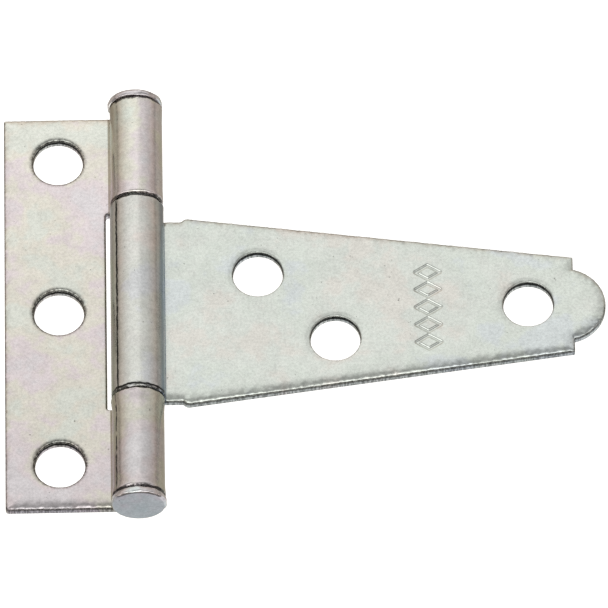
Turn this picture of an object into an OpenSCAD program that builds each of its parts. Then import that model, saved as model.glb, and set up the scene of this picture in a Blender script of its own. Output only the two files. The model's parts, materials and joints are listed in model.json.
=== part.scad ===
// Light T hinge in zinc-plated steel: a rectangular butt leaf and a tapered strap leaf, each
// pressed from one piece of sheet, turning on a pin with a head at both ends.
//
// The hinge lies open and flat with +Z up. Both back faces lie on Z = 0. The pin runs along Y
// above X = 0, the strap leaf points towards +X and the butt leaf towards -X.

/* [Sheet and pin] */
// Thickness of the sheet that both leaves are pressed from
sheet_t = 1.1; // [0.9:0.1:1.4]
// Diameter of the pin
pin_d = 3.5; // [3.0:0.1:3.9]
// Running gap between the pin and the knuckles, on the radius
pin_gap = 0.05; // [0.02:0.01:0.1]
// How far a pin head stands out past the knuckles, on the radius
head_lip = 0.1; // [0.0:0.05:0.2]
// Thickness of a pin head
head_t = 0.9; // [0.6:0.1:1.5]
// Radius of the rounded rim of a pin head
head_round = 0.25; // [0.1:0.05:0.4]

/* [Knuckles] */
// Length of the middle knuckle, which is rolled from the strap leaf
middle_knuckle_l = 23.6; // [23.2:0.1:24.5]
// Gap between neighbouring knuckles
knuckle_gap = 0.6; // [0.2:0.1:1.0]
// Angle below the pin at which the rolled sheet ends, facing its own leaf
curl_end = 31; // [15:1:32]

/* [Butt leaf] */
// Height of the butt leaf, along the pin
butt_h = 49.2; // [44:0.1:60]
// Distance from the pin to the outer edge of the butt leaf
butt_w = 14.35; // [13:0.05:20]
// Distance from the pin to the far edge of the slot that the middle knuckle turns in
slot_w = 3.4; // [3.3:0.05:4.5]
// Radius of the inner corners of the slot
slot_round = 0.5; // [0.2:0.1:1.0]
// Distance from the pin to the row of screw holes in the butt leaf
butt_hole_x = 8.5; // [8.0:0.1:9.5]
// Distance between neighbouring screw holes in the butt leaf
butt_hole_pitch = 19.05; // [17:0.05:20]

/* [Strap leaf] */
// Distance from the pin to the tip of the strap
strap_l = 50.8; // [49:0.1:60]
// Width of the strap where it leaves the middle knuckle
neck_w = 22.6; // [21:0.1:23]
// Distance from the pin to the end of the neck
neck_l = 4.9; // [4.0:0.1:6.0]
// Width of the strap at its widest, just past the neck
root_w = 23.4; // [23.1:0.1:24.5]
// Distance from the pin to the square shoulders
shoulder_x = 47.35; // [46.6:0.05:48]
// Width of the strap across its shoulders
shoulder_w = 11.8; // [10:0.1:14]
// Radius of the round tip
tip_r = 4.5; // [4.0:0.1:4.9]
// Screw holes in the strap: [distance from the pin, distance from the middle line]
strap_holes = [[13.15, 4.4], [21.45, -3.85], [42.45, 0]];

/* [Screw holes] */
// Diameter of the screw holes
hole_d = 5.4; // [4.0:0.1:6.0]

/* [Hidden] */
$fn = 96;
bore_r = pin_d / 2 + pin_gap;
knuckle_r = bore_r + sheet_t;
head_r = knuckle_r + head_lip;
// Height of the pin: a leaf passes straight under the bore, flush with the knuckles' underside
pin_z = knuckle_r;
slot_h = middle_knuckle_l + 2 * knuckle_gap;
// Length of the slope between the neck and the root of the strap
neck_step = 0.4;
// Where the sheared end of the rolled sheet would meet the leaf
seam_x = bore_r / tan(curl_end);
// How far a cutting shape runs past what it cuts
past = 1;

// Draws a flat outline upright and runs it along the pin between two places on the Y axis
module along_pin(y_from, y_to) {
    translate([0, y_to, pin_z]) rotate([90, 0, 0]) linear_extrude(y_to - y_from) children();
}

// A leaf that points towards +X: its flat part is the child, and a knuckle is rolled from it
// between each pair of places in knuckles. The sheet runs under the pin, up the far side and
// over the top, and ends above its own leaf, which leaves an open seam there.
module rolled_leaf(knuckles) {
    difference() {
        union() {
            linear_extrude(sheet_t) children();
            for (ends = knuckles) along_pin(ends[0], ends[1]) circle(r = knuckle_r);
        }
        for (ends = knuckles) {
            along_pin(ends[0] - past, ends[1] + past) circle(r = bore_r);
            along_pin(ends[0] - past, ends[1] + past)
                polygon([[0, 0], [0, -bore_r], [seam_x, -bore_r]]);
        }
    }
}

// The slot that the middle knuckle turns in, open towards the pin
module slot_outline() {
    translate([-past, slot_round - slot_h / 2]) square([slot_w + past, slot_h - 2 * slot_round]);
    translate([-past, -slot_h / 2]) square([slot_w + past - slot_round, slot_h]);
    for (side = [-1, 1])
        translate([slot_w - slot_round, side * (slot_h / 2 - slot_round)]) circle(r = slot_round);
}

module butt_outline() {
    difference() {
        translate([0, -butt_h / 2]) square([butt_w, butt_h]);
        slot_outline();
        for (row = [-1, 0, 1])
            translate([butt_hole_x, row * butt_hole_pitch]) circle(d = hole_d);
    }
}

// Half of the strap's outline, from the pin to the shoulder, on one side of the middle line
function strap_edge(side) = [
    [0, side * neck_w / 2],
    [neck_l, side * neck_w / 2],
    [neck_l + neck_step, side * root_w / 2],
    [shoulder_x, side * shoulder_w / 2]
];

module strap_outline() {
    near_edge = strap_edge(-1);
    far_edge = strap_edge(1);
    difference() {
        union() {
            polygon(concat(near_edge, [for (i = [len(far_edge) - 1:-1:0]) far_edge[i]]));
            translate([strap_l - tip_r, 0]) circle(r = tip_r);
        }
        for (place = strap_holes) translate(place) circle(d = hole_d);
    }
}

module butt_leaf() {
    outer_knuckles = [[-butt_h / 2, -slot_h / 2], [slot_h / 2, butt_h / 2]];
    color([0.80, 0.80, 0.77]) mirror([1, 0, 0]) rolled_leaf(outer_knuckles) butt_outline();
}

module strap_leaf() {
    middle_knuckle = [[-middle_knuckle_l / 2, middle_knuckle_l / 2]];
    color([0.84, 0.84, 0.82]) rolled_leaf(middle_knuckle) strap_outline();
}

// A pin head, standing on Z = 0 with its rounded rim upwards
module pin_head() {
    rotate_extrude() {
        square([head_r, head_t - head_round]);
        square([head_r - head_round, head_t]);
        translate([head_r - head_round, head_t - head_round])
            intersection() {
                circle(r = head_round);
                square(head_round);
            }
    }
}

module hinge_pin() {
    color([0.66, 0.69, 0.71]) translate([0, 0, pin_z]) {
        translate([0, butt_h / 2 + head_t / 2, 0]) rotate([90, 0, 0])
            cylinder(d = pin_d, h = butt_h + head_t);
        for (end = [-1, 1])
            translate([0, end * butt_h / 2, 0]) rotate([-90 * end, 0, 0]) pin_head();
    }
}

butt_leaf();
strap_leaf();
hinge_pin();
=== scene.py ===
"""Looks of a light zinc-plated T hinge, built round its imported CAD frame.

Both leaves are built again as pressed sheet: a flat blank with rolled-over and sheared edges,
whose tongues are then wound round the pin. The pin is turned from its profile. Lengths are in
millimetres until a mesh is made; Blender's own units are metres.
"""

import json
import math
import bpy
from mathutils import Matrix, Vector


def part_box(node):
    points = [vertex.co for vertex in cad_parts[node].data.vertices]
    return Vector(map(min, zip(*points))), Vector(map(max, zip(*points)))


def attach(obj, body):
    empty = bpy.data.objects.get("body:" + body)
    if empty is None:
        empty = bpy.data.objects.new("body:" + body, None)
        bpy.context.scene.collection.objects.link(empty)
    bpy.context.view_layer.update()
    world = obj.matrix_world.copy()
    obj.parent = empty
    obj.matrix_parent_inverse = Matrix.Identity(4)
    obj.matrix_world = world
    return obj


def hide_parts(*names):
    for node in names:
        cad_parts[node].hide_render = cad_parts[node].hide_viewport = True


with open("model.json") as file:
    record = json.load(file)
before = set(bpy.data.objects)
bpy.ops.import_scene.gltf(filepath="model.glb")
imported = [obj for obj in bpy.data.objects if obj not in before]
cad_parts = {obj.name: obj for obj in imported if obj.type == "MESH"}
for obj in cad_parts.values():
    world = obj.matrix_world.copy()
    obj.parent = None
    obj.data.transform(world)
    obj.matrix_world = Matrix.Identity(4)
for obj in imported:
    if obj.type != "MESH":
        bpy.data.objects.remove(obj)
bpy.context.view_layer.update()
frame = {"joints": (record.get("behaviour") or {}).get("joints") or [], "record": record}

from types import SimpleNamespace

import bpy
import numpy as np
from mathutils import Matrix, Vector
from mathutils.geometry import delaunay_2d_cdt

MM = 0.001

# ---------------------------------------------------------------- sizes read from the frame
mounts = {mount["name"]: mount for mount in frame["record"]["mounts"]}
tip_screw = mounts["strap_screw_tip"]
SHEET = tip_screw["dims"]["length_mm"]
HOLE_R = tip_screw["dims"]["r_mm"]
KNUCKLE_R = frame["joints"][0]["pos_m"][2] / MM  # the back faces lie flush with the knuckles
BORE_R = KNUCKLE_R - SHEET
butt_low, butt_high = (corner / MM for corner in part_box("butt_leaf"))
strap_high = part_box("strap_leaf")[1] / MM
pin_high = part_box("hinge_pin")[1] / MM
BUTT_W = -butt_low.x
BUTT_H = 2 * butt_high.y
STRAP_L = strap_high.x
MIDDLE_L = 2 * strap_high.y
HEAD_R = pin_high.x
HEAD_T = pin_high.y - butt_high.y

# ---------------------------------------------------------------- sizes of the pressed shapes
KNUCKLE_GAP = 0.6
SLOT_H = MIDDLE_L + 2 * KNUCKLE_GAP
SLOT_W = 3.4
NECK_W = 22.6
NECK_L = 4.9
NECK_STEP = 0.4
ROOT_W = 23.4
SHOULDER_X = 47.35
SHOULDER_W = 11.8
TIP_R = 4.5
TIP_STEPS = 44  # straight steps round the tip
PIN_GAP = 0.05
PIN_R = BORE_R - PIN_GAP
HEAD_GROOVE = 0.22  # how far the outer knuckles stop short of the pin's heads
NEAR_EXTRA = 0.26  # how much further the middle knuckle reaches towards -Y than its leaf's middle
CURL_ANGLE = math.radians(301)  # how far the sheet is wound round the pin
NEUTRAL_R = KNUCKLE_R - SHEET / 2
CURL_L = NEUTRAL_R * CURL_ANGLE
# The tongues that the knuckles are wound from
BUTT_TONGUE_X = (0.2, 0.3)  # where the far and the near tongue of the butt leaf start
BUTT_TONGUE_R = 0.1
STRAP_TONGUE_X = 0.4
STRAP_TONGUE_R = 0.2
END_WANDER = (0.05, 0.9)  # how far their sheared ends wander along the pin, and the pitch
END_WANDER_FROM = (1.0, 3.0)  # distance past the pin's axis over which that comes in
KNUCKLE_FROM = (1.5, 5.0)  # and over which a tongue becomes a knuckle
END_REACH = 1.0  # what lies nearer than this to a knuckle's end counts as that end
# Radii of the blanks' corners
CORNER_R = 0.12
BUTT_NEAR_R = 0.3
SLOT_FAR_R = 0.4
SLOT_NEAR_R = 0.3
SHOULDER_R = 0.1
ROOT_CORNER_R = 0.6
NECK_CORNER_R = 0.5

# ---------------------------------------------------------------- edges of the pressed sheet
# The front face is drawn down towards each cut
EDGE_ROLL = (1.45, 0.35)  # width and depth along the outline
BUTT_ROLL_X = 0.3  # where that starts on the butt leaf
STRAP_ROLL_X = 0.5  # and on the strap leaf
ROLL_EASE = 1.5  # distance over which it comes in
SLOT_BAND = 2.0  # how far past its ends the slot holds it back
BUTT_HOLE_BEVEL = (0.42, 0.09)  # width and depth of the drawn-down rim of a hole in the butt leaf
STRAP_HOLE_BEVEL = (0.60, 0.08)  # and in the strap leaf
BUTT_HOLE_ROLL = (0.20, 0.17)  # width and depth of the round corner inside that rim
STRAP_HOLE_ROLL = (0.10, 0.08)  # and in the strap leaf
HOLE_RINGS_W = 0.70  # how far from a hole its rim is drawn with closer points
SLOT_ROLL = 0.18  # share of the width and depth along the slot and the knuckles' ends
EDGE_UNEVEN = ((0.10, 1.1), (0.08, 0.5))  # how much the drawn-down edge varies, and the pitches
HOLE_UNEVEN = (0.15, 0.6)  # and the drawn-down rim of a hole
BURR_ROUND = 0.09  # small rounding of the back face's edges
LIP = (0.08, 0.06)  # reach and height of the lip at the knuckles' far ends, on their outside
END_BEVEL = (0.16, 0.11)  # width and depth of the worn corner at the knuckles' near ends
END_UNEVEN = (0.4, 0.8)  # how much that lip and that corner vary, and the pitch
WORN_END = (0.90, 0.75)  # part of the curl over which the worn corner gives out
NEAR_TRIM = 0.12  # how far the butt leaf is sheared short at its near edge
WALL_LEAN = 0.06  # how far the foot of the outline's cut stands out past its top
HOLE_FLARE = 0.08  # how much further a screw hole opens at the front than at the back
SPLIT = (0.56, 0.46)  # share of the sheet that is torn, along the outline and in the holes
SPLIT_WANDER = (0.05, 0.7)  # how far the line between the bands wanders, and its pitch
TOP_INSET = 0.02  # how far a cut's first row of points lies below the front face
BAND_BLEND = 0.04  # how far the rows beside the line between the bands lie from it
BURR_INSET = 0.03  # how far the last row lies above the back face
LEANS = (0.2, 0.9, 1.0, 1.1, 1.0)  # how far each row stands out, as a share of the cut's lean
SHEARED_TONE = (0.35, 0.06)  # how bright the sheared band is there, against the plating: painted shade for the dark it reflects, darkest in the holes
TORN_TONE = (0.88, 0.95)  # and the torn band
BURR_TONE = 0.85  # how bright the burr is, against the torn band
WAIST_START = (0.1, 1.6)  # distance from a knuckle's end over which it slims down to its waist
NEAR_WAIST = 0.11  # how much slimmer the near knuckle is between its ends
FAR_WAIST = 0.05  # and the far one
FAR_SHIFT = 0.12  # how far the far knuckle lies off the pin's axis, along X
MIDDLE_FATTER = 0.02  # how much fatter the middle knuckle is
MIDDLE_SHIFT = -0.07  # how far its middle lies off the pin's axis, along X
RING_W = 0.27  # width of the ring pressed out at the middle knuckle's near end
RING_CREASE = (0.07, 0.07)  # width and depth of the crease beside it
RING_WANDER = (0.03, 0.7)  # how far the crease wanders, and its pitch
RING_GRIME = 0.64  # how dark the painted shade over the ring beside the gap is
RING_FADE = (0.1, 0.05)  # how far before and past the crease that gives out
HALO_REACH = 1.4  # how far the plating's other tint spreads round a screw hole
# Dark lines along the cuts, partly darker plating and partly painted shade over the rolled edges'
# glints, as (strength, reach from the cut)
BUTT_HOLE_RIM = (1.0, 0.24)
STRAP_HOLE_RIM = (0.3, 0.11)
SIDE_RIM = (0.7, 0.08)
SLOT_RIM = (0.35, 0.08)
BUTT_NEAR_RIM = (0.9, 0.13)
STRAP_NEAR_RIM = (0.8, 0.10)
# Painted shade on the knuckles' ends, beside the pin's heads and the gap between knuckles
HEAD_GRIME = (0.85, 0.19)
GAP_GRIME = (0.8, 0.08)
TOUCHING = 1e-3  # a distance that counts as none

# ---------------------------------------------------------------- spacing of the meshes' points
ROLL_ANGLES = [math.radians(a) for a in (80, 68, 56, 44, 32, 20, 8)]
EDGE_STEP = 0.22  # along an edge
ARC_STEP = math.radians(15)  # round a corner
FLAT_STEP = 1.3  # over the flat part of a leaf
CURL_STEP = 1.2  # along the pin, over the rolled part
STAMP_STEP = 0.07  # over the stamped mark
SUPPORT = 0.25  # how far past a drawn-down edge the ring of level points lies
CLEAR = 0.4  # least distance from those rings to the points between them
RING_SHARE = 0.97  # a ring's point stays if it is this share of its inset from every cut
MERGE = 0.02  # points nearer than about this become one
WELD = 1e-5  # the same in the triangulation
FLAT_FROM = 1.0  # where the flat part of a leaf takes over from the rolled part
HOLE_POINTS = 80  # round a screw hole
TURNS = 96  # round the pin
SHAFT_ROWS = 30  # along the pin between its heads
INSIDE_ONLY = 1  # triangulation result without what lies outside the outline


# ---------------------------------------------------------------- outlines
def unit(v):
    return v / np.hypot(v[0], v[1])


def rounded_outline(corners):
    """Points along a closed anticlockwise outline of corners (x, y, radius)."""
    count = len(corners)
    arcs = []
    for i, (x, y, radius) in enumerate(corners):
        here = np.array((x, y))
        into = unit(here - np.array(corners[i - 1][:2]))
        out = unit(np.array(corners[(i + 1) % count][:2]) - here)
        turn = math.atan2(into[0] * out[1] - into[1] * out[0], into @ out)
        if radius == 0:
            arcs.append([here])
            continue
        start = here - into * radius * math.tan(abs(turn) / 2)
        spoke = math.copysign(radius, turn) * np.array((-into[1], into[0]))
        centre = start + spoke
        steps = max(3, math.ceil(abs(turn) / ARC_STEP))
        arc = []
        for k in range(steps + 1):
            c, s = math.cos(turn * k / steps), math.sin(turn * k / steps)
            arc.append(centre - np.array((c * spoke[0] - s * spoke[1], s * spoke[0] + c * spoke[1])))
        arcs.append(arc)
    points = []
    for i, arc in enumerate(arcs):
        points.extend(arc)
        gap = arcs[(i + 1) % count][0] - arc[-1]
        parts = max(1, math.ceil(np.hypot(*gap) / EDGE_STEP))
        points.extend(arc[-1] + gap * k / parts for k in range(1, parts))
    return np.array(points)


def hole_outline(centre):
    """A screw hole: clockwise, so that the sheet lies on the same side as along an outline."""
    angles = -2 * math.pi * np.arange(HOLE_POINTS) / HOLE_POINTS
    radius = HOLE_R + HOLE_FLARE
    return np.array(centre) + radius * np.column_stack((np.cos(angles), np.sin(angles)))


def ragged_ends(outline):
    """Lets the knuckles' ends wander along the pin, as the shear left them."""
    wander = END_WANDER[0] * ragged(outline, END_WANDER[1])
    outline[:, 1] += wander * smooth(-outline[:, 0], *END_WANDER_FROM)
    return outline


def butt_outline():
    """The butt leaf's blank, with x measured from the pin towards the outer edge."""
    slot, far, near = SLOT_H / 2, BUTT_H / 2, NEAR_TRIM - BUTT_H / 2
    knuckle_end = BUTT_H / 2 - HEAD_GROOVE
    far_x, near_x = BUTT_TONGUE_X
    return ragged_ends(rounded_outline([
        (BUTT_W, near, BUTT_NEAR_R), (BUTT_W, far, CORNER_R),
        (far_x, far, BUTT_TONGUE_R), (0.0, knuckle_end, BUTT_TONGUE_R),
        (-CURL_L, knuckle_end, CORNER_R), (-CURL_L, slot, CORNER_R),
        (SLOT_W, slot, SLOT_FAR_R), (SLOT_W, -slot, SLOT_NEAR_R),
        (-CURL_L, -slot, CORNER_R), (-CURL_L, -knuckle_end, CORNER_R),
        (0.0, -knuckle_end, BUTT_TONGUE_R), (near_x, near, BUTT_TONGUE_R),
    ]))


def strap_outline():
    """The strap leaf's blank, from its round tip to the end of the middle knuckle's tongue."""
    tip_x = STRAP_L - TIP_R
    reach = math.acos((SHOULDER_X - tip_x) / TIP_R)
    far_side = [
        (SHOULDER_X, SHOULDER_W / 2, SHOULDER_R),
        (NECK_L + NECK_STEP, ROOT_W / 2, ROOT_CORNER_R),
        (NECK_L, NECK_W / 2, NECK_CORNER_R),
        (STRAP_TONGUE_X, NECK_W / 2, STRAP_TONGUE_R), (0.0, MIDDLE_L / 2, STRAP_TONGUE_R),
        (-CURL_L, MIDDLE_L / 2, CORNER_R),
    ]
    corners = []
    for k in range(TIP_STEPS + 1):
        angle = reach * (2 * k / TIP_STEPS - 1)
        fillet = SHOULDER_R if k in (0, TIP_STEPS) else 0
        corners.append((tip_x + TIP_R * math.cos(angle), TIP_R * math.sin(angle), fillet))
    corners += far_side
    near_side = [(x, -y, radius) for x, y, radius in far_side]
    near_side[-2:] = [(x, y - NEAR_EXTRA, radius) for x, y, radius in near_side[-2:]]
    return ragged_ends(rounded_outline(corners + near_side[::-1]))


def hole_centres(names):
    """Screw holes as (distance from the pin, y), from the record's mounts."""
    return [(abs(mounts[n]["pos_m"][0]) / MM, mounts[n]["pos_m"][1] / MM) for n in names]


def butt_hole_centres():
    (x, y), = hole_centres(["butt_screw_middle"])
    reach = mounts["butt_screws_outer"]["dims"]["spacing_y_mm"] / 2
    return [(x, y - reach), (x, y), (x, y + reach)]


# ---------------------------------------------------------------- the stamped mark
STAMP_CENTRE = (31.6, -0.2)
STAMP_PITCH = 2.2
STAMP_HALF = (1.35, 0.85)  # half width and half height of one lozenge
STAMP_COUNT = 5
STAMP_LINE = 0.27  # half width of a stroke
STAMP_FLOOR = 0.04  # half width of its level floor
STAMP_DEPTH = 0.12
STAMP_MARGIN = 0.5  # how far past the lozenges the closer points may lie
STAMP_RIM = 0.1  # how far past a stroke they do lie


def stamp_strokes():
    """A plain row of lozenges along Y, each as four straight strokes."""
    strokes = []
    for i in range(STAMP_COUNT):
        cx = STAMP_CENTRE[0]
        cy = STAMP_CENTRE[1] + (i - (STAMP_COUNT - 1) / 2) * STAMP_PITCH
        ring = [
            np.array((cx + STAMP_HALF[0] * c, cy + STAMP_HALF[1] * s))
            for c, s in ((1, 0), (0, 1), (-1, 0), (0, -1))
        ]
        strokes += [(ring[k - 1], ring[k]) for k in range(4)]
    return strokes


# ---------------------------------------------------------------- distances and profiles
WAVES = 6  # waves that unevenness is summed from
SHORTEST_WAVE = 0.6  # length of the first, in pitches
WAVE_GROWTH = 0.22  # how much longer each next one is
WAVE_TURN = 2.4  # and how far it is turned
WAVE_SHIFT = 1.7  # and how far its phase is shifted


def distance_to(points, segments):
    """Distance from each point to the nearest of the segments (pairs of end points)."""
    nearest = np.full(len(points), 1e9)
    for start, end in segments:
        run = end - start
        along = np.clip((points - start) @ run / (run @ run), 0, 1)
        away = points - start - along[:, None] * run
        nearest = np.minimum(nearest, np.hypot(away[:, 0], away[:, 1]))
    return nearest


def loop_segments(loop):
    return list(zip(loop, np.roll(loop, -1, axis=0)))


def roll_depth(distance, width, depth, scale=1.0):
    """A quarter of an ellipse: full depth at the cut, level again at width."""
    share = np.clip(1 - distance / (width * scale), 0, 1)
    return depth * scale * (1 - np.sqrt(1 - share**2))


def bevel_depth(distance, width, depth, scale):
    """A straight slope: full depth at the cut, level again at width."""
    return depth * scale * np.clip(1 - distance / width, 0, 1)


def ragged(points, pitch):
    """Smooth unevenness between about -1 and 1, whose bumps are roughly one pitch apart: the sum
    of a few waves with different headings, lengths and phases."""
    total = np.zeros(len(points))
    for k in range(WAVES):
        length = pitch * (SHORTEST_WAVE + WAVE_GROWTH * k)
        heading = WAVE_TURN * k
        along = points[:, 0] * math.cos(heading) + points[:, 1] * math.sin(heading)
        total += np.sin(2 * math.pi / length * along + WAVE_SHIFT * k)
    return total / (WAVES / 2)


def fall_off(distance, strength, reach):
    """A value that is full at the cut and falls away over its reach."""
    return strength * np.exp(-((distance / reach) ** 2))


def smooth(value, low, high):
    t = np.clip((value - low) / (high - low), 0, 1)
    return t * t * (3 - 2 * t)


def inward_normals(loop):
    ahead = np.roll(loop, -1, axis=0) - loop
    ahead /= np.hypot(ahead[:, 0], ahead[:, 1])[:, None]
    tangent = ahead + np.roll(ahead, 1, axis=0)
    tangent /= np.hypot(tangent[:, 0], tangent[:, 1])[:, None]
    return np.column_stack((-tangent[:, 1], tangent[:, 0]))


# ---------------------------------------------------------------- pressed sheet
def inset_rings(loop, segments, width):
    """Points at the distances where the rolled edge turns, and one ring of level support."""
    normals = inward_normals(loop)
    rings = []
    for inset in [width * (1 - math.sin(a)) for a in ROLL_ANGLES] + [width + SUPPORT]:
        ring = loop + inset * normals
        rings.append(ring[distance_to(ring, segments) > RING_SHARE * inset])
    return np.vstack(rings)


def grid(x_range, y_range, pitch_x, pitch_y):
    xs = np.arange(x_range[0], x_range[1], pitch_x)
    ys = np.arange(y_range[0], y_range[1], pitch_y)
    gx, gy = np.meshgrid(xs, ys)
    return np.column_stack((gx.ravel(), gy.ravel()))


def thin_out(points, pitch):
    """Keeps one point in each cell of a fine grid."""
    _, first = np.unique(np.round(points / pitch).astype(int), axis=0, return_index=True)
    return points[np.sort(first)]


def blank_points(leaf, holes):
    """Every point of the blank, its boundary loops first, and how long each loop is."""
    edge = loop_segments(leaf.outline)
    rims = [segment for hole in holes for segment in loop_segments(hole)]
    low, high = leaf.outline.min(0), leaf.outline.max(0)
    flat = grid((FLAT_FROM, high[0]), (low[1], high[1]), FLAT_STEP, FLAT_STEP)
    curl = grid((low[0], FLAT_FROM), (low[1], high[1]), EDGE_STEP, CURL_STEP)
    inner = np.vstack((flat, curl))
    keep = distance_to(inner, edge) > EDGE_ROLL[0] + CLEAR
    keep &= distance_to(inner, rims) > HOLE_RINGS_W + CLEAR
    inner = inner[keep]
    extra = [inset_rings(leaf.outline, edge, EDGE_ROLL[0])]
    extra += [inset_rings(hole, loop_segments(hole), HOLE_RINGS_W) for hole in holes]
    if leaf.strokes:
        reach_x = STAMP_HALF[0] + STAMP_MARGIN
        reach_y = STAMP_PITCH * STAMP_COUNT / 2 + STAMP_MARGIN
        fine = grid(
            (STAMP_CENTRE[0] - reach_x, STAMP_CENTRE[0] + reach_x),
            (STAMP_CENTRE[1] - reach_y, STAMP_CENTRE[1] + reach_y), STAMP_STEP, STAMP_STEP,
        )
        extra.append(fine[distance_to(fine, leaf.strokes) < STAMP_LINE + STAMP_RIM])
        inner = inner[distance_to(inner, leaf.strokes) > STAMP_LINE + CLEAR]
    loops = [leaf.outline, *holes]
    points = np.vstack(loops + [thin_out(np.vstack(extra + [inner]), MERGE)])
    return points, [len(loop) for loop in loops]


def triangulate(points, loop_lengths, centres):
    """Splits the blank into triangles, leaving out its holes. Returns points and triangles."""
    edges, start = [], 0
    for length in loop_lengths:
        edges += [(start + k, start + (k + 1) % length) for k in range(length)]
        start += length
    coords = [Vector(p) for p in points.tolist()]
    made = delaunay_2d_cdt(coords, edges, [], INSIDE_ONLY, WELD)
    points = np.array([tuple(v) for v in made[0]])
    triangles = np.array([tuple(f) for f in made[2]])
    middles = points[triangles].mean(axis=1)
    flat_r = (HOLE_R + HOLE_FLARE) * math.cos(math.pi / HOLE_POINTS)
    for centre in centres:
        outside = np.hypot(*(middles - centre).T) > flat_r
        middles, triangles = middles[outside], triangles[outside]
    used, triangles = np.unique(triangles, return_inverse=True)
    return points[used], triangles.reshape(-1, 3)


def cut_edges(triangles):
    """The directed edges that only one triangle uses."""
    edges = triangles[:, [0, 1, 1, 2, 2, 0]].reshape(-1, 2)
    seen = {tuple(e) for e in edges.tolist()}
    return np.array([(a, b) for a, b in edges.tolist() if (b, a) not in seen])


def wind(points, heights, side):
    """Carries blank points to their place: flat beyond the pin, wound round it before."""
    x, y = points[:, 0], points[:, 1]
    angle = np.clip(-x / NEUTRAL_R, 0, None)
    radius = KNUCKLE_R - heights
    across = np.where(x > 0, x, -radius * np.sin(angle))
    up = np.where(x > 0, heights, KNUCKLE_R - radius * np.cos(angle))
    return np.column_stack((side * across, y, up))


def front_heights(leaf, points, to_edge, to_hole):
    """Heights of the front face: drawn down along every cut, and pressed in by the stamp."""
    uneven = sum(share * ragged(points, pitch) for share, pitch in EDGE_UNEVEN)
    edge_scale = leaf.edge_share(points) * (1 + uneven)
    hole_scale = 1 + HOLE_UNEVEN[0] * ragged(points, HOLE_UNEVEN[1])
    heights = SHEET - roll_depth(to_edge, *EDGE_ROLL, edge_scale)
    heights -= bevel_depth(to_hole, *leaf.hole_bevel, hole_scale)
    heights -= roll_depth(to_hole, *leaf.hole_roll, hole_scale)
    if leaf.strokes:
        to_stroke = distance_to(points, leaf.strokes)
        heights -= STAMP_DEPTH * (1 - smooth(to_stroke, STAMP_FLOOR, STAMP_LINE))
    return heights


def wall_rows(points, in_hole, front, back):
    """Rows down a cut as (height, share of the lean, tone). The sheared band is darkened with
    painted shade and lies over a torn one, which darkens towards the burr."""
    split = SHEET * np.where(in_hole, SPLIT[1], SPLIT[0])
    split += SPLIT_WANDER[0] * ragged(points, SPLIT_WANDER[1])
    sheared = np.where(in_hole, SHEARED_TONE[1], SHEARED_TONE[0])
    torn = np.where(in_hole, TORN_TONE[1], TORN_TONE[0])
    heights = (
        front - TOP_INSET, split + BAND_BLEND, split - BAND_BLEND, split / 2, back + BURR_INSET,
    )
    tones = (sheared, sheared, torn, torn, BURR_TONE * torn)
    return list(zip(heights, LEANS, tones))


def border_directions(points, border, order):
    """Unit directions out of the sheet at the points of its border."""
    outward = np.zeros((len(points), 2))
    for a, b in border:
        run = points[b] - points[a]
        outward[[a, b]] += np.array((run[1], -run[0])) / np.hypot(*run)
    return outward[order] / np.hypot(*outward[order].T)[:, None]


def sheet_faces(triangles, border, order, count, row_count, side):
    """Faces of the front, the back and the wall rows between them."""
    row_of = {int(v): i for i, v in enumerate(order)}
    starts = [2 * count + k * len(order) for k in range(row_count)]
    faces = [tuple(t) for t in triangles.tolist()]
    faces += [tuple(count + v for v in reversed(t)) for t in triangles.tolist()]
    for a, b in border.tolist():
        left = [a] + [start + row_of[a] for start in starts] + [count + a]
        right = [b] + [start + row_of[b] for start in starts] + [count + b]
        faces += [(left[k], left[k + 1], right[k + 1], right[k]) for k in range(len(left) - 1)]
    return [tuple(reversed(f)) for f in faces] if side < 0 else faces


def pressed_sheet(leaf):
    """A leaf as a closed mesh, with the values per point that its material needs."""
    holes = [hole_outline(centre) for centre in leaf.centres]
    points, triangles = triangulate(*blank_points(leaf, holes), leaf.centres)
    to_edge = distance_to(points, loop_segments(leaf.outline))
    to_hole = distance_to(points, [s for hole in holes for s in loop_segments(hole)])
    front = front_heights(leaf, points, to_edge, to_hole)
    back = roll_depth(np.minimum(to_edge, to_hole), BURR_ROUND, BURR_ROUND)
    back -= leaf.swell(points, to_edge)

    border = cut_edges(triangles)
    order = np.unique(border)
    in_hole = to_hole[order] < TOUCHING
    lean_out = np.where(in_hole, HOLE_FLARE, WALL_LEAN)[:, None]
    lean_out = lean_out * border_directions(points, border, order)
    foot = points.copy()
    foot[order] += lean_out
    coords = [wind(points, front, leaf.side), wind(foot, back, leaf.side)]
    level, count = np.ones(len(points)), len(points)
    tone = [level, level]
    walls = wall_rows(points[order], in_hole, front[order], back[order])
    for height, lean, row_tone in walls:
        coords.append(wind(points[order] + lean * lean_out, height, leaf.side))
        tone.append(row_tone)
    wall_count = len(walls) * len(order)
    nothing, on_walls = np.zeros(count), np.zeros(wall_count)
    halo = fall_off(to_hole, 1, HALO_REACH)
    return mesh_object(
        leaf.name, np.vstack(coords),
        sheet_faces(triangles, border, order, count, len(walls), leaf.side),
        tone=np.concatenate(tone),
        cut=np.concatenate([nothing, nothing, on_walls + 1]),
        rim=np.concatenate([leaf.dark_rim(points, to_edge, to_hole), nothing, on_walls]),
        grime=np.concatenate([nothing, leaf.grime(points, to_edge), on_walls]),
        halo=np.concatenate([halo, halo, on_walls]),
    )


def mesh_object(name, coords, faces, **attributes):
    """A smooth-shaded object from coordinates in millimetres, with named values per point."""
    mesh = bpy.data.meshes.new(name)
    mesh.from_pydata((coords * MM).tolist(), [], faces)
    for key, values in attributes.items():
        layer = mesh.attributes.new(key, "FLOAT", "POINT")
        layer.data.foreach_set("value", values.astype(np.float32))
    mesh.validate()
    mesh.shade_smooth()
    obj = bpy.data.objects.new(name, mesh)
    bpy.context.scene.collection.objects.link(obj)
    return obj


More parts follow.
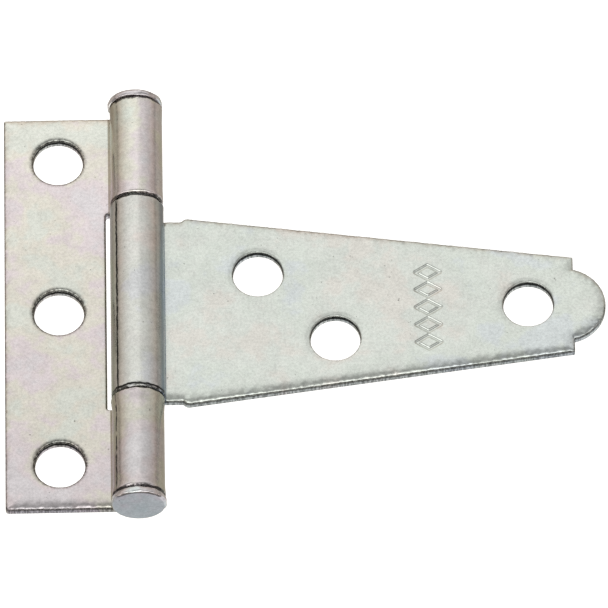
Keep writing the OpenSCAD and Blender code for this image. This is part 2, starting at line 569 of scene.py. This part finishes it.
def rolled_share(x, start):
    """Share of the full drawn-down edge: slight up to start, and full beyond."""
    return SLOT_ROLL + (1 - SLOT_ROLL) * smooth(x, start, start + ROLL_EASE)


def on_knuckle(points):
    return smooth(-points[:, 0], *KNUCKLE_FROM)


def end_unevenness(points):
    return 1 + END_UNEVEN[0] * ragged(points, END_UNEVEN[1])


def far_lip(points, to_edge):
    """Height of the lip that the shear raised on the outside of a knuckle's end."""
    reach, height = LIP
    return fall_off(to_edge, height, reach) * end_unevenness(points)


def make_butt_leaf():
    half, slot = BUTT_H / 2, SLOT_H / 2

    def edge_share(points):
        beside_slot = np.abs(points[:, 1]) < slot + SLOT_BAND
        return rolled_share(points[:, 0], np.where(beside_slot, SLOT_W, BUTT_ROLL_X))

    def swell(points, to_edge):
        x, y = points.T
        near_end = np.where(y > 0, slot, HEAD_GROOVE - half)
        worn = bevel_depth(to_edge, *END_BEVEL, end_unevenness(points))
        worn *= smooth(x, -WORN_END[0] * CURL_L, -WORN_END[1] * CURL_L)
        ends = np.where(np.abs(y - near_end) < END_REACH, -worn, far_lip(points, to_edge))
        waist = np.where(y < 0, NEAR_WAIST, FAR_WAIST) * smooth(to_edge, *WAIST_START)
        shift = np.where(y < 0, 0.0, FAR_SHIFT) * np.sin(np.clip(-x / NEUTRAL_R, 0, None))
        return on_knuckle(points) * (ends + shift - waist)

    def dark_rim(points, to_edge, to_hole):
        # painted shade over darker plating: darkens the holes' rims, the side, the slot and the near
        # edge
        x, y = points.T
        to_slot = np.where(np.abs(y) < slot, np.abs(x - SLOT_W), BUTT_W)
        at_hole = fall_off(to_hole, *BUTT_HOLE_RIM)
        at_side = fall_off(BUTT_W - x, *SIDE_RIM)
        at_slot = fall_off(to_slot, *SLOT_RIM)
        at_near_edge = fall_off(to_edge, *BUTT_NEAR_RIM)
        at_near_edge *= (y < END_REACH - half) & (x > BUTT_TONGUE_X[1])
        return at_hole + at_side + at_slot + at_near_edge

    def grime(points, to_edge):
        # painted shade beside the pin's heads and beside the gap between knuckles
        y = points[:, 1]
        beside_head = fall_off(to_edge, *HEAD_GRIME) * (np.abs(y) > half - END_REACH)
        beside_gap = fall_off(to_edge, *GAP_GRIME) * (np.abs(y - slot) < END_REACH)
        return on_knuckle(points) * (beside_head + beside_gap)

    return pressed_sheet(SimpleNamespace(
        name="butt_leaf_sheet", side=-1, outline=butt_outline(), centres=butt_hole_centres(),
        hole_bevel=BUTT_HOLE_BEVEL, hole_roll=BUTT_HOLE_ROLL, strokes=[],
        edge_share=edge_share, swell=swell, dark_rim=dark_rim, grime=grime,
    ))


def make_strap_leaf():
    def edge_share(points):
        return rolled_share(points[:, 0], STRAP_ROLL_X)

    def from_near_end(points):
        return points[:, 1] + MIDDLE_L / 2 + NEAR_EXTRA

    def swell(points, to_edge):
        from_end = from_near_end(points)
        wander = RING_WANDER[0] * ragged(points, RING_WANDER[1])
        crease_w, crease_depth = RING_CREASE
        crease = fall_off(from_end - RING_W - wander, crease_depth, crease_w)
        ends = np.where(from_end < END_REACH, -crease, far_lip(points, to_edge))
        shift = MIDDLE_SHIFT * np.sin(np.clip(-points[:, 0] / NEUTRAL_R, 0, None))
        return on_knuckle(points) * (MIDDLE_FATTER + shift + ends)

    def dark_rim(points, to_edge, to_hole):
        # painted shade over darker plating: dims the holes' rims and the near edge's glint
        x, y = points.T
        at_near_edge = fall_off(to_edge, *STRAP_NEAR_RIM) * (y < 0) * (x > FLAT_FROM)
        return fall_off(to_hole, *STRAP_HOLE_RIM) + at_near_edge

    def grime(points, to_edge):
        # painted shade over the ring beside the gap between knuckles
        start, end = RING_W - RING_FADE[0], RING_W + RING_FADE[1]
        past_ring = smooth(from_near_end(points), start, end)
        return on_knuckle(points) * RING_GRIME * (1 - past_ring)

    names = ["strap_screw_root", "strap_screw_middle", "strap_screw_tip"]
    return pressed_sheet(SimpleNamespace(
        name="strap_leaf_sheet", side=1, outline=strap_outline(), centres=hole_centres(names),
        hole_bevel=STRAP_HOLE_BEVEL, hole_roll=STRAP_HOLE_ROLL, strokes=stamp_strokes(),
        edge_share=edge_share, swell=swell, dark_rim=dark_rim, grime=grime,
    ))


# ---------------------------------------------------------------- the pin
HEAD_UNEVEN = (0.04, 1.1)  # how uneven the heads are, and the pitch
HEAD_RIM = 0.3  # how far in from its rim a head is fully uneven
HEAD_FACE = (0.02, 0.2)  # depths below its end face over which that comes in
HEAD_SMALLER = 0.02  # how much smaller than the CAD's the heads are otherwise
RIM_STEPS = 12  # straight steps over the rounded rim
DOME_RINGS = (0.9, 0.75, 0.55, 0.35, 0.15)  # radii on the end face, as shares of its own


def head_profile():
    """(radius, distance from the barrel's end) of a formed head, from the shaft to its middle."""
    start = 0.05  # gap between the barrel and the head
    bevel_w, bevel_t = 0.09, 0.12  # the corner beside the barrel
    rim, dome = 0.38, 0.04  # radius of the outer rim, and how far the end face bulges
    profile = [(PIN_R, start), (HEAD_R - 2 * bevel_w, start), (HEAD_R - bevel_w, start)]
    profile += [(HEAD_R - bevel_w / 2, start + bevel_t / 2), (HEAD_R, start + bevel_t)]
    for k in range(RIM_STEPS + 1):
        a = math.radians(90 * k / RIM_STEPS)
        profile.append((HEAD_R - rim * (1 - math.cos(a)), HEAD_T - dome - rim * (1 - math.sin(a))))
    for share in DOME_RINGS:
        profile.append(((HEAD_R - rim) * share, HEAD_T - dome * share**2))
    return profile


def make_pin():
    """The pin as one turned mesh, from the middle of one head to the middle of the other."""
    half = BUTT_H / 2
    head = head_profile()
    profile = [(r, -half - y) for r, y in reversed(head)]
    inset = 0.5
    shaft = np.linspace(-half + inset, half - inset, SHAFT_ROWS)
    profile += [(PIN_R, y) for y in shaft]
    profile += [(r, half + y) for r, y in head]
    angles = 2 * math.pi * np.arange(TURNS) / TURNS
    ring = np.column_stack((np.cos(angles), np.sin(angles)))
    rows = [np.array([(0.0, -half - HEAD_T, KNUCKLE_R), (0.0, half + HEAD_T, KNUCKLE_R)])]
    for radius, y in profile:
        uneven = HEAD_UNEVEN[0] * ragged(HEAD_R * ring + y, HEAD_UNEVEN[1])
        uneven *= smooth(radius, PIN_R, HEAD_R - HEAD_RIM)
        uneven *= smooth(half + HEAD_T - abs(y), *HEAD_FACE)
        around = (radius - HEAD_SMALLER * (radius > PIN_R) + uneven)[:, None] * ring
        rows.append(np.column_stack((around[:, 0], np.full(TURNS, y), KNUCKLE_R + around[:, 1])))
    coords = np.vstack(rows)
    faces = []
    for k in range(TURNS):
        n = (k + 1) % TURNS
        faces.append((0, 2 + k, 2 + n))
        last = 2 + (len(profile) - 1) * TURNS
        faces.append((1, last + n, last + k))
        for row in range(len(profile) - 1):
            a, b = 2 + row * TURNS, 2 + (row + 1) * TURNS
            faces.append((a + k, b + k, b + n, a + n))
    return mesh_object("hinge_pin_turned", coords, faces, tone=np.ones(len(coords)))


# ---------------------------------------------------------------- node helpers
class Tree:
    """Short calls for building a node tree."""

    def __init__(self, tree):
        self.tree = tree
        tree.nodes.clear()

    def add(self, kind, inputs=None, **settings):
        node = self.tree.nodes.new(kind)
        for key, value in settings.items():
            setattr(node, key, value)
        for key, value in (inputs or {}).items():
            self.put(node.inputs[key], value)
        return node

    def put(self, socket, value):
        if isinstance(value, bpy.types.NodeSocket):
            self.tree.links.new(value, socket)
        else:
            socket.default_value = value

    def math(self, operation, *values):
        node = self.add("ShaderNodeMath", operation=operation)
        for socket, value in zip(node.inputs, values):
            self.put(socket, value)
        return node.outputs[0]

    def span(self, value, low, high, to_low=0.0, to_high=1.0):
        """Eases value from low to high over to_low to to_high."""
        node = self.add("ShaderNodeMapRange", interpolation_type="SMOOTHSTEP")
        for socket, item in zip(node.inputs, (value, low, high, to_low, to_high)):
            self.put(socket, item)
        return node.outputs[0]

    def ramp(self, value, stops):
        """A colour ramp of stops (position, grey level or colour)."""
        node = self.add("ShaderNodeValToRGB", {0: value})
        band = node.color_ramp
        band.interpolation = "EASE"
        while len(band.elements) < len(stops):
            band.elements.new(1.0)
        for element, (position, colour) in zip(band.elements, stops):
            element.position = position
            grey = isinstance(colour, float)
            element.color = (colour, colour, colour, 1) if grey else (*colour, 1)
        return node.outputs[0]

    def mix(self, factor, a, b, blend="MIX"):
        node = self.add("ShaderNodeMix", data_type="RGBA", blend_type=blend)
        self.put(node.inputs[0], factor)
        self.put(node.inputs[6], a)
        self.put(node.inputs[7], b)
        return node.outputs[2]

    def product(self, *values):
        result = values[0]
        for value in values[1:]:
            result = self.math("MULTIPLY", result, value)
        return result

    def total(self, *terms):
        """The sum of (value, weight) pairs."""
        result = 0.0
        for value, weight in terms:
            result = self.math("MULTIPLY_ADD", value, weight, result)
        return result

    def darken(self, value, share, strength):
        """Takes a share of the strength off a value."""
        return self.product(value, self.math("MULTIPLY_ADD", share, -strength, 1.0))

    def attribute(self, name):
        return self.add("ShaderNodeAttribute", attribute_name=name).outputs["Fac"]

    def noise(self, vector, scale, detail=2.0, roughness=0.5):
        inputs = {"Vector": vector, "Scale": scale, "Detail": detail, "Roughness": roughness}
        return self.add("ShaderNodeTexNoise", inputs).outputs[0]


# ---------------------------------------------------------------- zinc plating
PINK = (1.00, 0.910, 0.945)
CREAM = (1.00, 0.970, 0.880)
GREEN = (0.960, 0.995, 0.925)
LILAC = (0.985, 0.945, 0.985)
ROSE = (0.980, 0.973, 0.925)
SILVER = (0.945, 1.00, 0.955)
MINT = (0.930, 1.00, 0.945)
BLUE = (0.910, 0.980, 1.00)
TEAL = (0.860, 0.960, 0.970)
STEEL = (0.925, 0.985, 1.00)
WHITE = (1.0, 1.0, 1.0)
# Where the knuckles' tint and their flanks' painted shade lie, in knuckle radii: across, and up to
# the top of the flanks
BARREL_HALF = 1.05
SIDES_TOP = (1.34, 1.77)
SIDES_BLEND = 0.5  # half the width over which one flank's painted shade turns into the other's, in mm
UNDERSIDE = (0.1, 0.7)  # heights over which all of them fade out underneath, in mm
TINT_LEVELS = (0.39, 0.07)  # cloud level of the first tint, and the step to each next one
HALO_PULL = -0.05  # how far that level is pulled down at a screw hole
# Noises, as (cells per metre, detail, roughness)
CLOUDS = (240.0, 3.0, 0.6)
DRIFT = (85.0, 1.0)
GRAIN = (3600.0, 2.0, 0.65)
MOTTLE = (1300.0, 3.0, 0.6)
SMUDGE = (380.0, 3.0, 0.6)
PITS = (2300.0, 2.0, 0.5)
STREAKS = (4200.0, 3.0, 0.6)
LINE_WANDER = (1500.0,)
LINE_BREAKS = (900.0, 3.0)
LINE_SWAY = 0.30  # how far a painted line wanders, in mm
LINE_HALF = (0.09, 0.17)  # half widths of its core and of the whole line, in mm
MARK_FLOOR = 1.1  # a painted line stays above this height, in sheet thicknesses
RING_BREAKS = (0.20, 0.42)  # noise levels between which the painted shadow round the barrel is broken
MIDDLING = (0.3, 0.7)  # the range that most of a noise's values lie in
PIT_LEVELS = (0.73, 0.79)  # noise levels over which a pit begins
GRIME_LEVELS = (0.30, 0.65)  # and over which the painted shade on the knuckles' ends does
RIM_GRAIN = (0.38, 0.62, 1.0, 0.35)  # grain levels, and how much of the dark rim each lets through
STREAK_SHADE = (0.36, 0.64, -0.4, 0.45)  # streak levels, and how much each darkens a cut
STREAK_STRETCH = (1.0, 1.0, 0.2)
GRIME_MOTTLE = (0.3, 1.3)  # how much of that painted shade the lightest and darkest mottle let through
GRAIN_LEVELS = (0.25, 0.75)
# How much each changes the brightness, either way
GRAIN_SHADE = 0.08
MOTTLE_SHADE = 0.05
SMUDGE_SHADE = 0.03
MOTTLE_ROUGHNESS = 0.04  # and how much mottle changes the roughness
ROUGHER = 0.2  # how much rougher cuts and pits are
# How dark the darkest places are, against the plating
PIT_DARK = 0.45
RIM_DARK = 0.92
GRIME_DARK = 0.8
MARK_DARK = 0.95
# Relief: its height, how strongly it shows, and each noise's share
BUMP = 0.01 * MM
BUMP_STRENGTH = 0.5
GRAIN_RELIEF, MOTTLE_RELIEF, SMUDGE_RELIEF = 0.5, 0.8, 1.6
PIT_RELIEF = -1.5
STREAK_RELIEF = 6.0


def plating_tint(t, place, tints):
    """Cloudy tints of the thin passivation, which shift round the screw holes."""
    clouds = t.noise(place, *CLOUDS)
    drift = t.noise(place, *DRIFT)
    cloudy = t.total((clouds, 0.5), (drift, 0.5), (t.attribute("halo"), HALO_PULL))
    first, step = TINT_LEVELS
    return t.ramp(cloudy, [(first + step * i, tint) for i, tint in enumerate(tints)])


def barrel_tint(t, x, z, look):
    """Tint of the knuckles: one on top, and painted shade with painted reflection down each side,
    towards -X and towards +X. It fades out underneath, where the back of the sheet is flat."""
    radius = KNUCKLE_R * MM
    near_pin = t.math("LESS_THAN", t.math("ABSOLUTE", x), BARREL_HALF * radius)
    barrel = t.product(near_pin, t.span(z, UNDERSIDE[0] * MM, UNDERSIDE[1] * MM))
    low = t.span(z, SIDES_TOP[0] * radius, SIDES_TOP[1] * radius, 1.0, 0.0)
    towards_strap = t.span(x, -SIDES_BLEND * MM, SIDES_BLEND * MM)
    # painted shade with painted reflection down the knuckles' flanks, darker lower down
    sides = t.mix(towards_strap, (*look.recess[0], 1), (*look.recess[1], 1))
    return t.mix(barrel, (1, 1, 1, 1), t.mix(low, (*look.barrel, 1), sides))


def ragged_line(t, place, away, breaks):
    """A broken dark line where away, in metres, is nought. Breaks are noise levels: the line is
    gone below the first and whole above the second."""
    sway = LINE_SWAY * MM
    wander = t.math("MULTIPLY_ADD", t.noise(place, *LINE_WANDER), sway, -sway / 2)
    away = t.math("ABSOLUTE", t.math("ADD", away, wander))
    line = t.span(away, LINE_HALF[0] * MM, LINE_HALF[1] * MM, 1.0, 0.0)
    return t.product(line, t.span(t.noise(place, *LINE_BREAKS), *breaks))


def forming_marks(t, place, axes, marks):
    """Painted dark lines on a knuckle: a painted reflection along it, at an angle from its top
    towards +X between two places along the pin, and a painted shadow round the barrel."""
    x, y, z = axes
    turn = t.math("ARCTAN2", x, t.math("SUBTRACT", z, KNUCKLE_R * MM))
    off_angle = t.math("SUBTRACT", turn, math.radians(marks.angle))
    along = ragged_line(t, place, t.math("MULTIPLY", off_angle, KNUCKLE_R * MM), marks.breaks)
    past_start = t.math("GREATER_THAN", y, marks.start * MM)
    before_end = t.math("LESS_THAN", y, marks.end * MM)
    above = t.math("GREATER_THAN", z, MARK_FLOOR * SHEET * MM)
    along = t.product(along, past_start, before_end, above)
    if marks.ring is None:
        return along
    across = ragged_line(t, place, t.math("SUBTRACT", y, marks.ring * MM), RING_BREAKS)
    return t.math("MAXIMUM", along, t.product(across, t.math("LESS_THAN", x, KNUCKLE_R * MM)))


def zinc(name, look):
    """Bright zinc with a thin passivation: cloudy tints, fine grain, pits and cut edges, with
    painted shade, painted reflection lines and a painted light gradient laid over them.
    """
    material = bpy.data.materials.new(name)
    material.use_nodes = True
    t = Tree(material.node_tree)
    own = t.add("ShaderNodeTexCoord").outputs["Object"]
    place = t.add("ShaderNodeMapping", {"Vector": own, "Location": look.seed}).outputs[0]
    axes = t.add("ShaderNodeSeparateXYZ", {0: own}).outputs
    grain = t.noise(place, *GRAIN)
    mottle = t.noise(place, *MOTTLE)
    smudge = t.noise(place, *SMUDGE)
    pit = t.span(t.noise(place, *PITS), *PIT_LEVELS)
    streaked = t.add("ShaderNodeMapping", {"Vector": place, "Scale": STREAK_STRETCH}).outputs[0]
    streaks = t.noise(streaked, *STREAKS)
    cut = t.attribute("cut")

    value = t.math("ADD", t.span(grain, *GRAIN_LEVELS, -GRAIN_SHADE, GRAIN_SHADE), look.level)
    value = t.math("ADD", value, t.span(mottle, *MIDDLING, -MOTTLE_SHADE, MOTTLE_SHADE))
    value = t.math("ADD", value, t.span(smudge, *MIDDLING, -SMUDGE_SHADE, SMUDGE_SHADE))
    value = t.darken(value, pit, PIT_DARK)
    # painted light: brighter towards +Y, darker towards -Y
    value = t.product(value, t.math("MULTIPLY_ADD", axes[1], look.fade, 1.0))
    # tone holds the sheared band's painted shade, and the torn band's and burr's own tones
    value = t.product(value, t.attribute("tone"))
    value = t.darken(value, t.product(cut, t.span(streaks, *STREAK_SHADE)), 1.0)
    # darker plating at the cuts together with painted shade over the rolled edges and the holes'
    # rims
    rim = t.product(t.attribute("rim"), t.span(grain, *RIM_GRAIN))
    value = t.darken(value, rim, RIM_DARK)
    # painted shade on the knuckles' ends, beside the pin's heads and the gaps
    grime = t.product(t.attribute("grime"), t.span(mottle, *MIDDLING, *GRIME_MOTTLE))
    value = t.darken(value, t.span(grime, *GRIME_LEVELS), GRIME_DARK)
    # painted reflection lines along the knuckles and a painted shadow round the barrel
    if look.marks:
        value = t.darken(value, forming_marks(t, place, axes, look.marks), MARK_DARK)
    grey = t.add("ShaderNodeCombineColor", {0: value, 1: value, 2: value}).outputs[0]
    tint = t.mix(1.0, plating_tint(t, place, look.tints), grey, "MULTIPLY")
    colour = t.mix(1.0, tint, barrel_tint(t, axes[0], axes[2], look), "MULTIPLY")

    varied = t.span(mottle, *MIDDLING, -MOTTLE_ROUGHNESS, MOTTLE_ROUGHNESS)
    rough = t.math("ADD", varied, look.roughness)
    rough = t.math("ADD", rough, t.total((cut, ROUGHER), (pit, ROUGHER)))
    height = t.total(
        (grain, GRAIN_RELIEF), (mottle, MOTTLE_RELIEF), (smudge, SMUDGE_RELIEF), (pit, PIT_RELIEF),
    )
    height = t.math("MULTIPLY_ADD", t.product(streaks, cut), STREAK_RELIEF, height)
    relief = {"Strength": BUMP_STRENGTH, "Distance": BUMP, "Height": height}
    bump = t.add("ShaderNodeBump", relief)
    shader = t.add("ShaderNodeBsdfPrincipled", {
        "Base Color": colour, "Metallic": 1.0, "Roughness": rough, "Normal": bump.outputs[0],
    })
    t.add("ShaderNodeOutputMaterial", {0: shader.outputs[0]})
    return material


def make_zinc_butt():
    near_end = BUTT_H / 2 - HEAD_GROOVE
    return zinc("zinc_butt", SimpleNamespace(
        level=0.84, tints=(GREEN, CREAM, PINK, LILAC), roughness=0.21, fade=4.0,
        # the flank colours are painted shade with painted reflection
        recess=((0.50, 0.46, 0.40), (0.76, 0.77, 0.72)), barrel=(0.98, 1.00, 0.99),
        seed=(0.31, 0.11, 0.07),
        marks=SimpleNamespace(
            angle=-57, start=-near_end, end=-SLOT_H / 2, breaks=(0.34, 0.52), ring=None,
        ),
    ))


def make_zinc_strap():
    half = MIDDLE_L / 2
    return zinc("zinc_strap", SimpleNamespace(
        level=0.85, tints=(ROSE, SILVER, MINT, BLUE), roughness=0.21, fade=0.0,
        # the flank colours are painted shade with painted reflection
        recess=((0.34, 0.33, 0.27), (0.33, 0.375, 0.445)), barrel=(1.00, 0.955, 0.965),
        seed=(0.02, 0.53, 0.19),
        marks=SimpleNamespace(
            angle=-48, start=-half - NEAR_EXTRA, end=half, breaks=(0.20, 0.38),
            ring=RING_W - half - NEAR_EXTRA,
        ),
    ))


def make_zinc_pin():
    return zinc("zinc_pin", SimpleNamespace(
        level=0.86, tints=(TEAL, TEAL, STEEL, LILAC), roughness=0.20, fade=0.0,
        recess=(WHITE, WHITE), barrel=WHITE, seed=(0.71, 0.23, 0.41), marks=None,
    ))


# ---------------------------------------------------------------- light, floor and camera
def direction_degrees(angle):
    """Where an angle from -180 to 180 degrees lies on a ramp from 0 to 1."""
    return angle / 360 + 0.5


STUDIO_STRENGTH = 0.88
# Brightness of the studio above the table by (position, level): up from the horizon, and from
# -X to +X
BY_HEIGHT = [(0.0, 0.44), (0.06, 0.55), (0.14, 0.67), (0.30, 0.78), (0.75, 1.0)]
BY_SIDE = [
    (0.05, 0.86), (0.20, 0.91), (0.36, 0.98), (0.50, 1.00), (0.56, 0.93), (0.62, 0.80),
    (0.68, 0.74), (0.84, 0.69), (0.94, 0.74),
]
# And by the angle in degrees over the top, from the far side to the near side
FORE_AFT = [
    (66, 1.0), (76, 0.72), (86, 0.42), (98, 0.42), (110, 0.8), (120, 2.0), (138, 2.0),
    (146, 0.5), (151, 0.12), (160, 0.45),
]
# Colours of the air at the horizon and overhead, of the table, and of the dark band just below
# the horizon
HORIZON, OVERHEAD = (1.0, 0.87, 0.77, 1), (1.0, 0.985, 0.955, 1)
TABLE_NEAR, TABLE_FAR, TABLE_SIDE = (0.52, 0.52, 0.54, 1), (0.52, 0.48, 0.42, 1), (0.8, 0.8, 0.8, 1)
DARK_NEAR = (0.12, 0.12, 0.12, 1)
DARK_LEFT, DARK_RIGHT = (0.24, 0.21, 0.18, 1), (0.34, 0.32, 0.29, 1)
# Directions, as parts of a unit vector, over which one colour turns into the next
AIR_TURN = (0.0, 0.75)  # up from the horizon
TABLE_TURN = (-0.4, 0.3)  # from near to far
SIDE_TURN = (0.2, 0.45)  # out towards the table's bright side
SIDE_END = (0.1, 0.3)  # and away from the camera, where that side ends
DARK_TURN = (-0.4, 0.4)  # from left to right
DARK_NEAR_TURN = (-0.4, 0.0)  # from near to the middle
# How far down the dark band reaches: this much from near to the middle, and more at the far side
BAND_NEAR = (-0.6, 0.2, 0.40, 0.12)
BAND_FAR = (0.6, 0.85, 0.0, 0.4)
BAND_EDGE = (0.3, 1.5)  # shares of that depth over which the band gives way to the table


def make_world():
    """A soft studio all round: bright above the far side, a strong light behind the camera, dim
    at the horizon, and a grey table below. Only reflections and soft light show it."""
    world = bpy.data.worlds.new("studio")
    bpy.context.scene.world = world
    world.use_nodes = True
    t = Tree(world.node_tree)
    way = t.add("ShaderNodeTexCoord").outputs["Generated"]
    x, y, z = t.add("ShaderNodeSeparateXYZ", {0: way}).outputs

    by_height = t.ramp(z, BY_HEIGHT)
    by_side = t.ramp(t.math("MULTIPLY_ADD", x, 0.5, 0.5), BY_SIDE)
    round_x = t.math("DIVIDE", t.math("ARCTAN2", z, y), 2 * math.pi)
    stops = [(direction_degrees(angle), level) for angle, level in FORE_AFT]
    fore_aft = t.ramp(t.math("ADD", round_x, 0.5), stops)
    above = t.mix(1.0, t.mix(1.0, by_height, by_side, "MULTIPLY"), fore_aft, "MULTIPLY")
    air = t.mix(t.span(z, *AIR_TURN), HORIZON, OVERHEAD)
    above = t.mix(1.0, above, air, "MULTIPLY")

    below = t.math("MULTIPLY", z, -1.0)
    tone = t.mix(t.span(y, *TABLE_TURN), TABLE_NEAR, TABLE_FAR)
    beside = t.product(t.span(x, *SIDE_TURN), t.span(y, *SIDE_END, 1.0, 0.0))
    tone = t.mix(beside, tone, TABLE_SIDE)
    dark = t.mix(t.span(x, *DARK_TURN), DARK_LEFT, DARK_RIGHT)
    dark = t.mix(t.span(y, *DARK_NEAR_TURN), DARK_NEAR, dark)
    reach = t.math("ADD", t.span(y, *BAND_NEAR), t.span(y, *BAND_FAR))
    table = t.mix(t.span(t.math("DIVIDE", below, reach), *BAND_EDGE), dark, tone)
    seen = t.mix(t.math("GREATER_THAN", z, 0.0), table, above)
    white = 1 / STUDIO_STRENGTH
    camera_ray = t.add("ShaderNodeLightPath").outputs["Is Camera Ray"]
    pale = t.mix(camera_ray, seen, (white, white, white, 1))
    back = t.add("ShaderNodeBackground", {"Color": pale, "Strength": STUDIO_STRENGTH})
    t.add("ShaderNodeOutputWorld", {0: back.outputs[0]})


FLOOR_Z = -55.0
FLOOR_HALF = 1500.0
FLOOR_TONE = (0.90, 0.92)  # darkest and palest grey
FLOOR_CLOUDS = 40.0  # cells per metre
FLOOR_GLOW = 0.6  # keeps the floor as pale as the backdrop
FLOOR_ROUGHNESS = 0.9


def make_floor():
    """A plain pale floor, low enough for the strap to hang down. Reflections don't show it."""
    ring = [(sx * FLOOR_HALF, sy * FLOOR_HALF) for sx, sy in ((-1, -1), (1, -1), (1, 1), (-1, 1))]
    coords = np.array([(x, y, FLOOR_Z) for x, y in ring])
    floor = mesh_object("floor", coords, [(0, 1, 2, 3)])
    material = bpy.data.materials.new("pale_floor")
    material.use_nodes = True
    t = Tree(material.node_tree)
    place = t.add("ShaderNodeTexCoord").outputs["Object"]
    pale = t.span(t.noise(place, FLOOR_CLOUDS), *MIDDLING, *FLOOR_TONE)
    colour = t.add("ShaderNodeCombineColor", {0: pale, 1: pale, 2: pale}).outputs[0]
    shader = t.add("ShaderNodeBsdfPrincipled", {
        "Base Color": colour, "Roughness": FLOOR_ROUGHNESS,
        "Emission Color": (1, 1, 1, 1), "Emission Strength": FLOOR_GLOW,
    })
    t.add("ShaderNodeOutputMaterial", {0: shader.outputs[0]})
    floor.data.materials.append(material)
    floor.visible_glossy = False


def area_light(name, place, aim, size, power):
    light = bpy.data.lights.new(name, "AREA")
    light.shape = "RECTANGLE"
    light.size, light.size_y = size
    light.energy = power
    obj = bpy.data.objects.new(name, light)
    obj.location = place
    obj.rotation_euler = (Vector(aim) - Vector(place)).to_track_quat("-Z", "Y").to_euler()
    bpy.context.scene.collection.objects.link(obj)
    return obj


# One soft light above the far side, in metres and watts
SOFTBOX_PLACE = (-0.15, 0.35, 0.60)
SOFTBOX_AIM = (0.02, 0, 0)
SOFTBOX_SIZE = (0.5, 0.5)
SOFTBOX_POWER = 0.6


def make_lights():
    soft = area_light("softbox_above", SOFTBOX_PLACE, SOFTBOX_AIM, SOFTBOX_SIZE, SOFTBOX_POWER)
    soft.visible_glossy = False


CAMERA_ELEVATION = 59.3  # degrees
CAMERA_ROLL = 1.05  # degrees
CAMERA_DISTANCE = 1.4  # metres
CAMERA_AIM = (18.11, 1.12, 0.0)
FRAME_W = 66.08  # what the picture's width spans at the aim point
SENSOR_W = 36.0
CAMERA_CLIP = (0.1, 10.0)  # metres


def make_camera():
    data = bpy.data.cameras.new("camera")
    data.sensor_width = SENSOR_W
    data.lens = SENSOR_W * CAMERA_DISTANCE / (FRAME_W * MM)
    data.clip_start, data.clip_end = CAMERA_CLIP
    camera = bpy.data.objects.new("camera", data)
    elevation = math.radians(CAMERA_ELEVATION)
    back = Vector((0, -math.cos(elevation), math.sin(elevation)))
    turn = (-back).to_track_quat("-Z", "Y").to_matrix()
    roll = Matrix.Rotation(math.radians(-CAMERA_ROLL), 3, "Z")
    place = Vector(CAMERA_AIM) * MM + back * CAMERA_DISTANCE
    camera.matrix_world = Matrix.Translation(place) @ (turn @ roll).to_4x4()
    bpy.context.scene.collection.objects.link(camera)
    bpy.context.scene.camera = camera


# ---------------------------------------------------------------- the scene
def dress(obj, body, node, material):
    obj.data.materials.append(material)
    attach(obj, body)
    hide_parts(node)


make_camera()
make_world()
make_floor()
make_lights()

dress(make_butt_leaf(), "butt", "butt_leaf", make_zinc_butt())
dress(make_strap_leaf(), "strap", "strap_leaf", make_zinc_strap())
dress(make_pin(), "butt", "hinge_pin", make_zinc_pin())

bpy.context.scene.view_settings.view_transform = "Standard"
bpy.context.view_layer.update()
